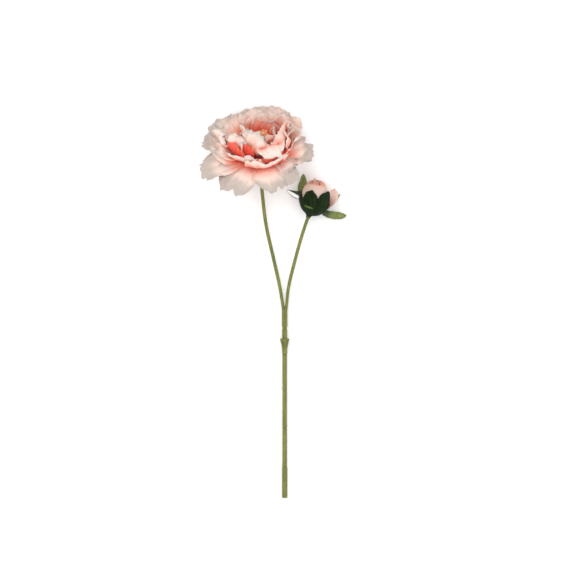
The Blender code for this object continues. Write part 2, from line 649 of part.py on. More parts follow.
def forked_stem(flower, bloom, bud):
    """Neck, sleeve and both branches, moulded in one piece."""
    neck, sleeve = NECK_DIAMETER / 2, SLEEVE_DIAMETER / 2
    foot = COLLAR_TOP - SOCKET_DEPTH + FIT_GAP
    profile = ((0, foot), (neck - 0.4, foot), (neck, foot + 0.6), (neck, SEAM_PLACE - 3.0),
               (neck + 0.2, SEAM_PLACE - 1.6), (neck - 0.5, SEAM_PLACE - 0.2), (neck - 0.4, SEAM_PLACE + 0.4),
               (sleeve, SEAM_PLACE + 2.2), (sleeve, SLEEVE_TOP - 5.0), (sleeve - 0.8, SLEEVE_TOP - 1.5),
               (0, SLEEVE_TOP))
    core = turned("forked_stem", profile, STEM_SIDES, flower)
    along_stem(core)
    bloom_route, bud_route = branch_routes(frame_in_mm(bloom), frame_in_mm(bud))
    bloom_branch = tube("bloom_branch", smooth_route(bloom_route, 3), BLOOM_BRANCH_DIAMETER / 2, flower)
    bud_branch = tube("bud_branch", smooth_route(bud_route, 3), BUD_BRANCH_DIAMETER / 2, flower)
    fuse(core, [bloom_branch, bud_branch])
    core.data.materials.append(material("stem green", STEM_GREEN, 0.55))
    return core


def shade_smooth():
    for obj in bpy.data.objects:
        if obj.type == 'MESH':
            obj.data.shade_smooth()
            obj.data.set_sharp_from_angle(angle=math.radians(40))


def move_to_origin(flower):
    """Move the flower so that the middle of its box's bottom is the origin."""
    bpy.context.view_layer.update()
    graph = bpy.context.evaluated_depsgraph_get()
    low = Vector((math.inf,) * 3)
    high = -low
    for obj in bpy.data.objects:
        if obj.type == 'MESH':
            shape = obj.evaluated_get(graph)
            for vert in shape.data.vertices:
                place = obj.matrix_world @ vert.co
                low = Vector(map(min, low, place))
                high = Vector(map(max, high, place))
    flower.location = (-(low.x + high.x) / 2, -(low.y + high.y) / 2, -low.z)
    bpy.context.view_layer.update()


def main():
    clear_scene()
    flower = empty("flower", None, (0, 0, 0), ((1, 0, 0), (0, 1, 0), (0, 0, 1)))
    bloom = empty("bloom", flower, BLOOM_BASE, head_axes(0.0, BLOOM_ELEVATION))
    bud = empty("bud", flower, BUD_BASE, head_axes(BUD_HEADING, BUD_ELEVATION))
    main_stem(flower)
    stem_collar(flower)
    forked_stem(flower, bloom, bud)
    bloom_calyx(bloom)
    bloom_petals(bloom)
    stamens(bloom)
    bud_calyx(bud)
    bud_petals(bud)
    bud_side_petal(bud)
    bud_leaves(flower, bud)
    shade_smooth()
    move_to_origin(flower)


main()
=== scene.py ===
# Cut peony of dyed fabric and moulded plastic, lying on pale paper and seen from above.
# Shapes are worked out in millimetres and scaled to metres when a piece is finished.
import math
import random

import bmesh
import bpy
from mathutils import Matrix, Vector, noise


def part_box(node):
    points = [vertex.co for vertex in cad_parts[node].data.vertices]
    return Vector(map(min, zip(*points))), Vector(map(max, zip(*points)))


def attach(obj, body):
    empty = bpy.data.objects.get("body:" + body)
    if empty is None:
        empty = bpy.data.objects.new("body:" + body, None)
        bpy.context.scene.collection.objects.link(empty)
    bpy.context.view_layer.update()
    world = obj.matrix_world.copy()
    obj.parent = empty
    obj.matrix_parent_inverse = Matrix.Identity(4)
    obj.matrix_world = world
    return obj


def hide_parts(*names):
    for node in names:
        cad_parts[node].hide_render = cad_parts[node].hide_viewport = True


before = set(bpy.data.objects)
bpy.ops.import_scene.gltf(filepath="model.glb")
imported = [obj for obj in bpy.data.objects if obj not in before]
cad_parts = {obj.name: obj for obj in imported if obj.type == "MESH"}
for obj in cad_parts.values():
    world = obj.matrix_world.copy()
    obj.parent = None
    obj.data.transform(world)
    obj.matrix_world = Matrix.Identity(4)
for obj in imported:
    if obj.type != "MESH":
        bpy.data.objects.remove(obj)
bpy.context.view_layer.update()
mm = 0.001
scene = bpy.context.scene

# The flower's own frame: its origin is on the floor below the cut end, +Y runs along the stem
stemLow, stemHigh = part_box("main_stem")
flower = Vector(((stemLow.x + stemHigh.x) / 2 / mm, stemLow.y / mm + 0.04, stemLow.z / mm))

stem = dict(diameter=5.5, length=171.8, rise=0.84, footSwell=0.42, footLift=0.25)
bloom = dict(base=(-29.0, 405.4, 38.0), heading=0.0, elevation=46.0, cupDepth=13.0, cupRadius=8.2)
bud = dict(base=(32.9, 338.2, 16.95), heading=8.0, elevation=4.0, radius=16.3, middle=19.0, upperStretch=1.53,
           upperFullness=0.75, lowerStretch=1.07, sepalRadius=17.8, neck=-3.8, neckTilt=12.0, petalSeat=1.1,
           leafSeat=1.2, cloth=0.45, leafCloth=0.5)
# Diameters of the CAD's plugs, and the gap round each one in its socket
plugs = dict(bloom=3.7, bud=3.3, collar=5.3, gap=0.3)


def headFrame(place, heading, elevation):
    # Z points out of the head, Y down behind it, X to the right
    turn, rise = math.radians(heading), math.radians(elevation)
    out = Vector((math.sin(turn) * math.cos(rise), math.cos(turn) * math.cos(rise), math.sin(rise)))
    right = Vector((math.cos(turn), -math.sin(turn), 0))
    axes = Matrix((right, out.cross(right), out)).transposed().to_4x4()
    return Matrix.Translation(flower + Vector(place)) @ axes


bloomFrame = headFrame(bloom["base"], bloom["heading"], bloom["elevation"])
budFrame = headFrame(bud["base"], bud["heading"], bud["elevation"])


# Colours and nodes

def hexColor(text):
    channels = [int(text[i:i + 2], 16) / 255 for i in (1, 3, 5)]
    return (*[c / 12.92 if c <= 0.04045 else ((c + 0.055) / 1.055) ** 2.4 for c in channels], 1.0)


def addNode(tree, kind, settings=None, **inputs):
    # inputs are sockets to link or plain values, by socket name with _ for a space or by its number as n0, n1
    node = tree.nodes.new(kind)
    for name, value in (settings or {}).items():
        setattr(node, name, value)
    for name, value in inputs.items():
        socket = node.inputs[int(name[1:]) if name[0] == "n" and name[1:].isdigit() else name.replace("_", " ")]
        if isinstance(value, bpy.types.NodeSocket):
            tree.links.new(value, socket)
        else:
            socket.default_value = value
    return node


def addRamp(tree, factor, stops):
    ramp = addNode(tree, "ShaderNodeValToRGB", n0=factor)
    points = ramp.color_ramp.elements
    points[0].position, points[1].position = stops[0][0], stops[-1][0]
    for place, color in stops[1:-1]:
        points.new(place)
    for point, (place, color) in zip(points, stops):
        point.color = hexColor(color)
    return ramp.outputs[0]


def newMaterial(name, roughness, sheen=0.0, subsurface=0.0, glow="#ffffff", coat=0.0, specular=0.5):
    made = bpy.data.materials.new(name)
    made.use_nodes = True
    shader = made.node_tree.nodes["Principled BSDF"]
    shader.inputs["Roughness"].default_value = roughness
    shader.inputs["Specular IOR Level"].default_value = specular
    shader.inputs["Sheen Weight"].default_value = sheen
    shader.inputs["Sheen Roughness"].default_value = 0.45
    shader.inputs["Coat Weight"].default_value = coat
    shader.inputs["Coat Roughness"].default_value = 0.35
    shader.inputs["Subsurface Weight"].default_value = subsurface
    shader.inputs["Subsurface Radius"].default_value = hexColor(glow)[:3]
    shader.inputs["Subsurface Scale"].default_value = 0.0015
    return made, made.node_tree, shader


petalCloth = dict(veins=11, weave=0.8, streaks=13, sheen=0.15, roughness=0.85)


def petalMaterial(name, stops, streakShare=0.2):
    # Thin polyester cloth, dyed from the claw outwards and pressed with veins: matte, and light glows through it
    made, tree, shader = newMaterial(name, petalCloth["roughness"], sheen=petalCloth["sheen"], subsurface=0.35,
                                     glow="#ffb8a4", specular=0.25)
    place = addNode(tree, "ShaderNodeUVMap", dict(uv_map="petal")).outputs[0]
    along = addNode(tree, "ShaderNodeSeparateXYZ", n0=place).outputs[1]
    tone = addNode(tree, "ShaderNodeAttribute", dict(attribute_name="tone")).outputs["Fac"]
    spread = addNode(tree, "ShaderNodeMapping", n0=place, Scale=(petalCloth["streaks"], 1.4, 1)).outputs[0]
    streak = addNode(tree, "ShaderNodeTexNoise", dict(noise_dimensions='4D'), Vector=spread, W=tone, Scale=1.0,
                     Detail=4.0, Roughness=0.62).outputs[0]
    pushed = addNode(tree, "ShaderNodeMath", dict(operation='MULTIPLY_ADD'), n0=streak, n1=streakShare,
                     n2=-streakShare / 2).outputs[0]
    level = addNode(tree, "ShaderNodeMath", dict(operation='ADD'), n0=along, n1=pushed).outputs[0]
    # Each petal's shift of dye is partly real and partly painted shade: deeper coral on petals in the shade of the gaps
    dye = addNode(tree, "ShaderNodeAttribute", dict(attribute_name="dye")).outputs["Fac"]
    shift = addNode(tree, "ShaderNodeMath", dict(operation='ADD'), n0=dye, n1=level).outputs[0]
    dyed = addRamp(tree, shift, stops)
    # Veins fan out with the petal, because they follow its own width
    bands = addNode(tree, "ShaderNodeMapping", n0=place, Scale=(petalCloth["veins"], 0.55, 1)).outputs[0]
    vein = addNode(tree, "ShaderNodeTexWave", dict(bands_direction='X'), Vector=bands, Scale=0.5, Distortion=1.6,
                   Detail=2.0, Detail_Scale=1.4).outputs["Fac"]
    veined = addRamp(tree, vein, ((0.0, "#f6ece8"), (0.35, "#ffffff")))
    color = addNode(tree, "ShaderNodeMix", dict(data_type='RGBA', blend_type='MULTIPLY'), n0=0.4, n6=dyed,
                    n7=veined).outputs[2]
    # Threads really lie 0.3 mm apart: drawn wider, so that the cloth shows
    cloth = addNode(tree, "ShaderNodeUVMap", dict(uv_map="cloth")).outputs[0]
    threads = addNode(tree, "ShaderNodeMapping", n0=cloth, Scale=(1 / petalCloth["weave"],) * 3).outputs[0]
    warp = addNode(tree, "ShaderNodeTexWave", dict(bands_direction='X'), Vector=threads, Scale=0.31,
                   Distortion=0.6).outputs["Fac"]
    weft = addNode(tree, "ShaderNodeTexWave", dict(bands_direction='Y'), Vector=threads, Scale=0.31,
                   Distortion=0.6).outputs["Fac"]
    weave = addNode(tree, "ShaderNodeMath", dict(operation='ADD'), n0=warp, n1=weft).outputs[0]
    crinkle = addNode(tree, "ShaderNodeTexNoise", Vector=cloth, Scale=0.55, Detail=5.0, Roughness=0.6,
                      Distortion=0.4).outputs[0]
    low = addNode(tree, "ShaderNodeBump", Strength=0.2, Distance=0.0004, Height=weave).outputs[0]
    mid = addNode(tree, "ShaderNodeBump", Strength=0.55, Distance=0.0012, Height=crinkle, Normal=low).outputs[0]
    high = addNode(tree, "ShaderNodeBump", Strength=0.2, Distance=0.0004, Height=vein, Normal=mid).outputs[0]
    tree.links.new(color, shader.inputs["Base Color"])
    tree.links.new(high, shader.inputs["Normal"])
    return made


def plasticMaterial(name, dark, mid, light, shadeAndHighlightColor, roughness=0.5, grain=(260, 14, 260), coat=0.12, specular=0.4):
    # Moulded soft plastic: an even satin skin, mottled in the mix, with drawn lines along its length
    made, tree, shader = newMaterial(name, roughness, coat=coat, specular=specular)
    place = addNode(tree, "ShaderNodeTexCoord").outputs["Object"]
    drawn = addNode(tree, "ShaderNodeMapping", n0=place, Scale=grain).outputs[0]
    lines = addNode(tree, "ShaderNodeTexNoise", Vector=drawn, Scale=2.2, Detail=4.0, Roughness=0.6).outputs[0]
    mottle = addNode(tree, "ShaderNodeTexNoise", Vector=place, Scale=420.0, Detail=3.0).outputs[0]
    mixed = addNode(tree, "ShaderNodeMath", dict(operation='MULTIPLY_ADD'), n0=mottle, n1=0.45, n2=lines).outputs[0]
    skin = addRamp(tree, mixed, ((0.52, dark), (0.72, mid), (0.95, light)))
    # The shade attribute mixes in the second colour: painted shade on the stem, and on the calyx a lighter olive, which
    # along its fold is a painted highlight
    shade = addNode(tree, "ShaderNodeAttribute", dict(attribute_name="shade")).outputs["Fac"]
    color = addNode(tree, "ShaderNodeMix", dict(data_type='RGBA'), n0=shade, n6=skin, n7=hexColor(shadeAndHighlightColor)).outputs[2]
    fine = addNode(tree, "ShaderNodeBump", Strength=0.35, Distance=0.0004, Height=lines).outputs[0]
    rough = addNode(tree, "ShaderNodeBump", Strength=0.25, Distance=0.0003, Height=mottle, Normal=fine).outputs[0]
    tree.links.new(color, shader.inputs["Base Color"])
    tree.links.new(rough, shader.inputs["Normal"])
    return made


def leafMaterial(name, stops, root, veins=7.0, roughness=0.6, bump=0.5):
    # Coated cloth printed as a leaf and heat-pressed: veins slant from the midrib to the edge
    made, tree, shader = newMaterial(name, roughness, sheen=0.08, coat=0.06)
    place = addNode(tree, "ShaderNodeUVMap", dict(uv_map="petal")).outputs[0]
    split = addNode(tree, "ShaderNodeSeparateXYZ", n0=place)
    across = addNode(tree, "ShaderNodeMath", dict(operation='SUBTRACT'), n0=split.outputs[0], n1=0.5).outputs[0]
    away = addNode(tree, "ShaderNodeMath", dict(operation='ABSOLUTE'), n0=across).outputs[0]
    slant = addNode(tree, "ShaderNodeMath", dict(operation='MULTIPLY_ADD'), n0=away, n1=-0.9,
                    n2=split.outputs[1]).outputs[0]
    line = addNode(tree, "ShaderNodeCombineXYZ", n0=slant).outputs[0]
    vein = addNode(tree, "ShaderNodeTexWave", dict(wave_profile='SAW'), Vector=line, Scale=veins * 0.31,
                   Distortion=0.5, Detail=1.0).outputs["Fac"]
    midrib = addNode(tree, "ShaderNodeMapRange", n0=away, n1=0.0, n2=0.06, n3=1.0, n4=0.0).outputs[0]
    mottle = addNode(tree, "ShaderNodeTexNoise", Vector=addNode(tree, "ShaderNodeTexCoord").outputs["Object"],
                     Scale=380.0, Detail=4.0, Roughness=0.65).outputs[0]
    mixed = addNode(tree, "ShaderNodeMath", dict(operation='MULTIPLY_ADD'), n0=vein, n1=0.22, n2=mottle).outputs[0]
    # Painted shade darkens the leaf towards its root
    rootShade = addNode(tree, "ShaderNodeMapRange", n0=split.outputs[1], n1=0.42, n2=0.2, n3=0.0, n4=0.75).outputs[0]
    color = addNode(tree, "ShaderNodeMix", dict(data_type='RGBA'), n0=rootShade, n6=addRamp(tree, mixed, stops),
                    n7=hexColor(root)).outputs[2]
    height = addNode(tree, "ShaderNodeMath", dict(operation='SUBTRACT'), n0=vein, n1=midrib).outputs[0]
    pressed = addNode(tree, "ShaderNodeBump", Strength=bump, Distance=0.0006, Height=height).outputs[0]
    rough = addNode(tree, "ShaderNodeBump", Strength=0.3, Distance=0.0004, Height=mottle, Normal=pressed).outputs[0]
    tree.links.new(color, shader.inputs["Base Color"])
    tree.links.new(rough, shader.inputs["Normal"])
    return made


def foldedLeafMaterial(name, pale, shadedGreen, rim):
    # The same leaf cloth, folded over: its pale back faces up, near white with a painted highlight, with a dark wedge
    # of the front in painted shade and a brown cut edge
    made, tree, shader = newMaterial(name, 0.6, sheen=0.08)
    split = addNode(tree, "ShaderNodeSeparateXYZ", n0=addNode(tree, "ShaderNodeUVMap", dict(uv_map="petal")).outputs[0])
    place = addNode(tree, "ShaderNodeTexCoord").outputs["Object"]
    grain = addNode(tree, "ShaderNodeTexNoise", Vector=place, Scale=500.0, Detail=3.0).outputs[0]
    wander = addNode(tree, "ShaderNodeMath", dict(operation='MULTIPLY_ADD'), n0=grain, n1=0.12,
                     n2=split.outputs[0]).outputs[0]
    slanted = addNode(tree, "ShaderNodeMath", dict(operation='MULTIPLY_ADD'), n0=split.outputs[1], n1=-0.45,
                      n2=wander).outputs[0]
    shadedWedge = addNode(tree, "ShaderNodeMapRange", n0=slanted, n1=0.42, n2=0.5).outputs[0]
    edge = addNode(tree, "ShaderNodeMapRange", n0=wander, n1=0.17, n2=0.12).outputs[0]
    back = addRamp(tree, grain, ((0.3, pale[0]), (0.7, pale[1])))
    faced = addNode(tree, "ShaderNodeMix", dict(data_type='RGBA'), n0=shadedWedge, n6=back, n7=hexColor(shadedGreen)).outputs[2]
    color = addNode(tree, "ShaderNodeMix", dict(data_type='RGBA'), n0=edge, n6=faced, n7=hexColor(rim)).outputs[2]
    tree.links.new(color, shader.inputs["Base Color"])
    tree.links.new(addNode(tree, "ShaderNodeBump", Strength=0.3, Distance=0.0004, Height=grain).outputs[0],
                   shader.inputs["Normal"])
    return made


# Coral at the claw, pale at the tip; the deepest coral stands partly for painted shade in the gaps
bloomCloth = petalMaterial("coralPolyesterCloth", (
    (0.0, "#d23626"), (0.26, "#ee6650"), (0.39, "#f2937e"), (0.50, "#eea994"), (0.61, "#ecc8ba"), (0.74, "#ead6cb"),
    (0.88, "#beb6ac"), (1.0, "#b6aea5")))
budCloth = petalMaterial("palePinkPolyesterCloth", (
    (0.0, "#cfa08f"), (0.3, "#d2b3a4"), (0.62, "#d3bbad"), (0.78, "#d8ab99"), (0.88, "#cd8670"), (1.0, "#b98d7b")), 0.3)
sideCloth = petalMaterial("loosePetalPolyesterCloth", (
    (0.0, "#d79c8c"), (0.4, "#e2b9ab"), (0.8, "#e8cbc0"), (1.0, "#dcb3a5")), 0.22)
stemPlastic = plasticMaterial("mouldedPolyethyleneStem", "#51571a", "#656a22", "#818439", "#2c4518")
calyxPlastic = plasticMaterial("mouldedPolyethyleneCalyx", "#0a1502", "#0f2005", "#1f3413", "#6a743a", roughness=0.7,
                               grain=(240, 40, 240), coat=0.0, specular=0.12)
leafCloth = leafMaterial("printedLeafCloth", ((0.35, "#4f5f26"), (0.6, "#6b7a37"), (0.85, "#8d9550")), "#24341a")
foldedLeafCloth = foldedLeafMaterial("foldedLeafCloth", ("#ecebe4", "#f8f7f2"), "#15240d", "#6a5b44")
stamenFoam = plasticMaterial("flockedStamenFoam", "#f2a876", "#fcc594", "#ffe2b8", "#d28459", roughness=0.85, coat=0.0)
print("materials made")


# Helpers for meshes

def finishPiece(name, bm, material, nodes, thickness=0.0):
    bmesh.ops.scale(bm, vec=(mm, mm, mm), verts=bm.verts)
    mesh = bpy.data.meshes.new(name)
    bm.to_mesh(mesh)
    bm.free()
    mesh.shade_smooth()
    piece = bpy.data.objects.new(name, mesh)
    scene.collection.objects.link(piece)
    mesh.materials.append(material)
    if thickness:
        wall = piece.modifiers.new("wall", 'SOLIDIFY')
        wall.thickness = thickness * mm
        wall.offset = 0.0
    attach(piece, "root")
    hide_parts(*nodes)
    return piece


# Size in mm of the cloth that a blade is cut from, and how far its weave is shifted by the blade's tone
weaveMap = dict(halfWidth=25, length=60, shift=90)


def addBlade(bm, point, across, along, tone=0.0, dye=0.0):
    # A grid bent to point(u, v), u from -1 to 1 and v from 0 to 1, with its own UV maps, tone and shift of dye, partly
    # painted shade
    petalMap = bm.loops.layers.uv.get("petal") or bm.loops.layers.uv.new("petal")
    clothMap = bm.loops.layers.uv.get("cloth") or bm.loops.layers.uv.new("cloth")
    toneLayer = bm.verts.layers.float.get("tone") or bm.verts.layers.float.new("tone")
    dyeLayer = bm.verts.layers.float.get("dye") or bm.verts.layers.float.new("dye")
    verts = bmesh.ops.create_grid(bm, x_segments=across, y_segments=along, size=1.0)["verts"]
    flat = {vert: (vert.co.x, (vert.co.y + 1) / 2) for vert in verts}
    for vert, (u, v) in flat.items():
        vert.co = point(u, v)
        vert[toneLayer] = tone
        vert[dyeLayer] = dye
    for face in {face for vert in verts for face in vert.link_faces}:
        for loop in face.loops:
            u, v = flat[loop.vert]
            loop[petalMap].uv = ((u + 1) / 2, v)
            loop[clothMap].uv = (u * weaveMap["halfWidth"] + tone * weaveMap["shift"], v * weaveMap["length"])


def turnedInto(bm, profile, sides, place=None):
    # A solid turned about Z from (radius, height) points that start and end on the axis
    older = set(bm.verts)
    points = [bm.verts.new((radius, 0, height)) for radius, height in profile]
    edges = [bm.edges.new(pair) for pair in zip(points, points[1:])]
    bmesh.ops.spin(bm, geom=points + edges, cent=(0, 0, 0), axis=(0, 0, 1), angle=2 * math.pi, steps=sides,
                   use_merge=True)
    bmesh.ops.remove_doubles(bm, verts=[vert for vert in bm.verts if vert not in older], dist=1e-4)
    verts = [vert for vert in bm.verts if vert not in older]
    bmesh.ops.recalc_face_normals(bm, faces=list({face for vert in verts for face in vert.link_faces}))
    if place is not None:
        bmesh.ops.transform(bm, matrix=place, verts=verts)


def cubic(points, s):
    a, b, c, d = [Vector(p) for p in points]
    r = 1.0 - s
    place = a * r ** 3 + b * 3 * r * r * s + c * 3 * r * s * s + d * s ** 3
    way = (b - a) * r * r + (c - b) * 2 * r * s + (d - c) * s * s
    return place, way.normalized()


def smoothRoute(points, steps):
    ends = [points[0] * 2 - points[1]] + list(points) + [points[-1] * 2 - points[-2]]
    route = []
    for i in range(len(points) - 1):
        a, b, c, d = ends[i:i + 4]
        for step in range(steps):
            t = step / steps
            route.append(0.5 * (b * 2 + (c - a) * t + (a * 2 - b * 5 + c * 4 - d) * t * t
                                + (b * 3 - a - c * 3 + d) * t ** 3))
    return route + [points[-1]]


def addTube(bm, route, radii, sides, place=None):
    ringVerts, side = [], Vector((1, 0.2, 0.1))
    for i, middle in enumerate(route):
        way = (route[min(i + 1, len(route) - 1)] - route[max(i - 1, 0)]).normalized()
        side = (side - way * side.dot(way)).normalized()
        axes = Matrix((side, way.cross(side), way)).transposed().to_4x4()
        ringVerts += bmesh.ops.create_circle(bm, segments=sides, radius=radii[i],
                                             matrix=Matrix.Translation(middle) @ axes)["verts"]
    bmesh.ops.bridge_loops(bm, edges=list({edge for vert in ringVerts for edge in vert.link_edges}))
    ends = [edge for vert in ringVerts for edge in vert.link_edges if edge.is_boundary]
    bmesh.ops.holes_fill(bm, edges=list(set(ends)))
    bmesh.ops.recalc_face_normals(bm, faces=list({face for vert in ringVerts for face in vert.link_faces}))
    if place is not None:
        bmesh.ops.transform(bm, matrix=place, verts=ringVerts)


def setShade(bm, shadeAt):
    # Where the plastic is darker, as painted shade, or lighter on the calyx, from 0 to 1
    shadeLayer = bm.verts.layers.float.get("shade") or bm.verts.layers.float.new("shade")
    for vert in bm.verts:
        vert[shadeLayer] = max(0.0, min(1.0, shadeAt(vert.co)))


# Petals

def halfWidth(petal, v):
    # Half the petal's width at v of its length: a narrow claw, widest near the tip
    widest, claw = petal.get("widest", 0.74), petal.get("claw", 0.18)
    share = claw + (1 - claw) * math.sin(math.pi / 2 * min(1.0, v / widest)) ** 1.2
    if v > widest:
        share *= 1 - (1 - petal.get("tipWidth", 0.72)) * ((v - widest) / (1 - widest)) ** 2
    return petal["width"] / 2 * share


def petalPoint(petal, u, v):
    # The midrib is a cubic in (radius, height) round the head's axis. The blade is cupped, waved towards
    # its rim and crumpled, with a notch and a ragged line at the tip
    seed, half = petal["seed"], halfWidth(petal, v)
    reach = 1 - petal.get("round", 0.15) * abs(u) ** 2.6 * v
    reach -= petal.get("notch", 0.05) * math.exp(-((u - petal["notchAt"]) / 0.15) ** 2) * v ** 4
    reach += 0.020 * math.sin(6.5 * u + seed) * v ** 3 + 0.010 * math.sin(15 * u + 2 * seed) * v ** 5
    reach += petal.get("slant", 0.0) * u * v ** 2
    reach += petal.get("ragged", 0.02) * noise.noise(Vector((9 * u, 3 * seed, v))) * v ** 6
    s = v * reach
    rib, way = cubic(petal["rib"], s)
    normal = Vector((-way.y, way.x))
    rim = min(1.3, math.hypot(u * half / (petal["width"] / 2) * 0.8, s))
    waveAngle = petal["waves"] * math.atan2(u * half, 8 + 50 * s)
    lift = petal["ruffle"] * max(0.0, rim - 0.2) ** 1.7
    lift *= math.sin(waveAngle + seed * 1.7) + 0.4 * math.sin(2.3 * waveAngle + seed * 3.1 + 2 * s)
    place = Vector((u * 1.2 + seed * 3.7, s * 1.9, seed * 1.3))
    crumple = petal["crumple"] * rim
    lift += crumple * noise.noise(place)
    lift += 0.45 * crumple * noise.noise(place * 2.3 + Vector((3.3, 1.7, 8.2)))
    # Crinkles about 5 mm apart along the rim, and pressed pleats that fan out from the claw
    lift += petal.get("frill", 0.9) * rim ** 3 * noise.noise(Vector((u * half * 0.24, s * 8.0, seed)))
    lift += petal.get("pleat", 0.16) * v * math.sin(27 * u + seed)
    azimuth = math.radians(petal["azimuth"] + petal.get("lean", 0.0) * v)
    bend = math.radians(petal["cup"]) * (0.4 + 0.6 * v) + 1e-4
    across = half * math.sin(bend * u) / bend
    across += 0.6 * crumple * noise.noise(place + Vector((9.1, 4.2, 1.1)))
    lift += half * (1 - math.cos(bend * u)) / bend
    twist = math.radians(petal.get("twist", 0.0)) * v
    side = across * math.cos(twist) - lift * math.sin(twist)
    lift = across * math.sin(twist) + lift * math.cos(twist)
    out = rib.x + normal.x * lift
    return Vector((out * math.cos(azimuth) - side * math.sin(azimuth),
                   out * math.sin(azimuth) + side * math.cos(azimuth), rib.y + normal.y * lift))


def placed(headMatrix, place, gap=0.3, squash=0.02):
    # A place in a head's frame. What would sink through the floor is pressed flat just above it
    world = headMatrix @ place
    floor = flower.z + gap
    if world.z < floor:
        world.z = floor + squash * (world.z - floor)
    return world


def bloomLayers():
    # Azimuth 0 is to the right, 90 behind and 270 in front. Each row gives the azimuth, how far out and
    # how high the tip reaches, and the width, some also a slant or a shift of dye, partly painted shade. The draws stay
    # in this order
    draw = random.Random(5)
    layers = {"guard": [], "bowl": [], "crown": [], "inner": []}

    def add(layer, azimuth, rib, width, **shape):
        layers[layer].append(dict(azimuth=azimuth, rib=rib, width=width, seed=draw.uniform(0, 20),
                                  notchAt=draw.uniform(-0.4, 0.4), **shape))

    guard = dict(cup=-8, ruffle=3.2, waves=10, crumple=3.2, notch=0.05, tipWidth=0.8, round=0.16, dye=0.17,
                 frill=1.6, ragged=0.032)
    for azimuth, out, up, width, slant in (
            (195, 75, 1, 50, 0.09), (231, 65, -3, 54, 0.02), (286, 57, 0, 41, 0.04), (319, 57, -2, 34, 0.0),
            (9, 65, 3, 42, 0.06), (40, 63, 8, 44, 0), (70, 69, 8, 50, 0), (108, 68, 8, 52, 0), (136, 68, 9, 46, 0),
            (158, 76, 3, 34, 0.0)):
        # The petals in front arch higher, and the one at 286 most
        arch = 9
        if math.sin(math.radians(azimuth)) <= -0.2:
            arch = 14.5 if azimuth == 286 else 12
        add("guard", azimuth, ((5, 1), (24, arch), (0.7 * out, arch), (out, up)), width, slant=slant, **guard)

    second = dict(cup=-2, ruffle=3.0, waves=11, crumple=3.4, notch=0.05, tipWidth=0.8, frill=1.4)
    for azimuth, out, up, width, dye in (
            (262, 24, 8, 20, 0.0), (332, 47, 9, 38, -0.02), (14, 56, 16, 42, -0.04), (46, 61, 23, 42, 0.04),
            (88, 60, 26, 44, 0.06), (126, 60, 25, 46, 0.06), (152, 68, 25, 48, 0.06), (180, 60, 17, 42, 0.0)):
        add("guard", azimuth, ((6, 4), (24, 14), (0.68 * out, 0.75 * up + 3), (out, up)), width, dye=dye, **second)

    front = dict(notch=0.04, tipWidth=0.88, waves=9, frill=1.6)
    add("bowl", 222, ((8, 8), (24, 12), (35, 18), (38, 32)), 58, cup=34, ruffle=2.0, crumple=2.6, twist=22, slant=0.05,
        dye=-0.14, **front)
    add("bowl", 270, ((8, 8), (26, 12), (37, 18), (36, 36)), 15, cup=30, ruffle=1.0, crumple=1.0, round=0.3,
        dye=-0.3, **front)
    add("bowl", 287, ((8, 7), (26, 11), (38, 17), (39, 34)), 62, cup=52, ruffle=2.2, crumple=2.6, dye=-0.18, **front)
    add("bowl", 350, ((8, 8), (26, 12), (34, 20), (38, 34)), 46, cup=16, ruffle=2.4, crumple=3.2, twist=-13, dye=-0.11,
        **front)
    # Coral petals line the bowl behind its two front rims, and show in the gaps; their deep coral is partly painted
    # shade
    lining = dict(notch=0.0, tipWidth=0.9, waves=9, ruffle=1.2, crumple=1.6, frill=0.5)
    for azimuth, rib, width, cup, twist, dye in (
            (210, ((8, 10), (32, 14), (42, 28), (31, 38)), 36, 26, 16, -0.6),
            (233, ((8, 10), (26, 12), (34, 28), (24, 43)), 22, 30, 8, -0.75),
            (276, ((8, 10), (34, 12), (42, 26), (31, 33)), 40, 40, 0, -0.6),
            (306, ((8, 10), (34, 12), (43, 26), (31, 37)), 40, 40, 0, -0.52)):
        add("bowl", azimuth, rib, width, cup=cup, twist=twist, dye=dye, **lining)
    # One stands edge-on, a thin pale line between two coral gaps
    add("bowl", 236, ((35.4, 32), (34, 37), (30, 42), (24, 44)), 2.6, cup=4, claw=0.9, tipWidth=0.9, notch=0, waves=9,
        ruffle=0.4, crumple=0.5, lean=-21, dye=0.08, frill=0.4, pleat=0.1)
    rear = dict(notch=0.05, tipWidth=0.86, waves=12, ruffle=3.0, frill=1.8)
    for azimuth, out, up, width, dye in (
            (14, 48, 36, 42, -0.14), (45, 57, 35.5, 42, -0.06), (65, 56.5, 37, 46, 0), (100, 52, 37, 46, 0),
            (126, 53, 34, 46, 0), (152, 61, 31, 46, 0), (180, 54, 28, 42, -0.04)):
        add("bowl", azimuth, ((8, 8), (27, 15), (0.76 * out, 0.68 * up), (out, up)), width, cup=24, crumple=3.6,
            twist=draw.uniform(-9, 9), lean=draw.uniform(-6, 6), dye=dye, **rear)

    for azimuth, out, up, width in ((0, 38, 43, 34), (34, 42, 43, 38), (70, 42, 43, 42), (108, 43, 43, 44),
                                    (150, 47, 39, 44)):
        add("crown", azimuth, ((8, 10), (20, 20), (0.8 * out, 0.72 * up), (out, up)), width, cup=30, crumple=4.2,
            twist=draw.uniform(-12, 12), lean=draw.uniform(-6, 6), dye=-0.1, **rear)

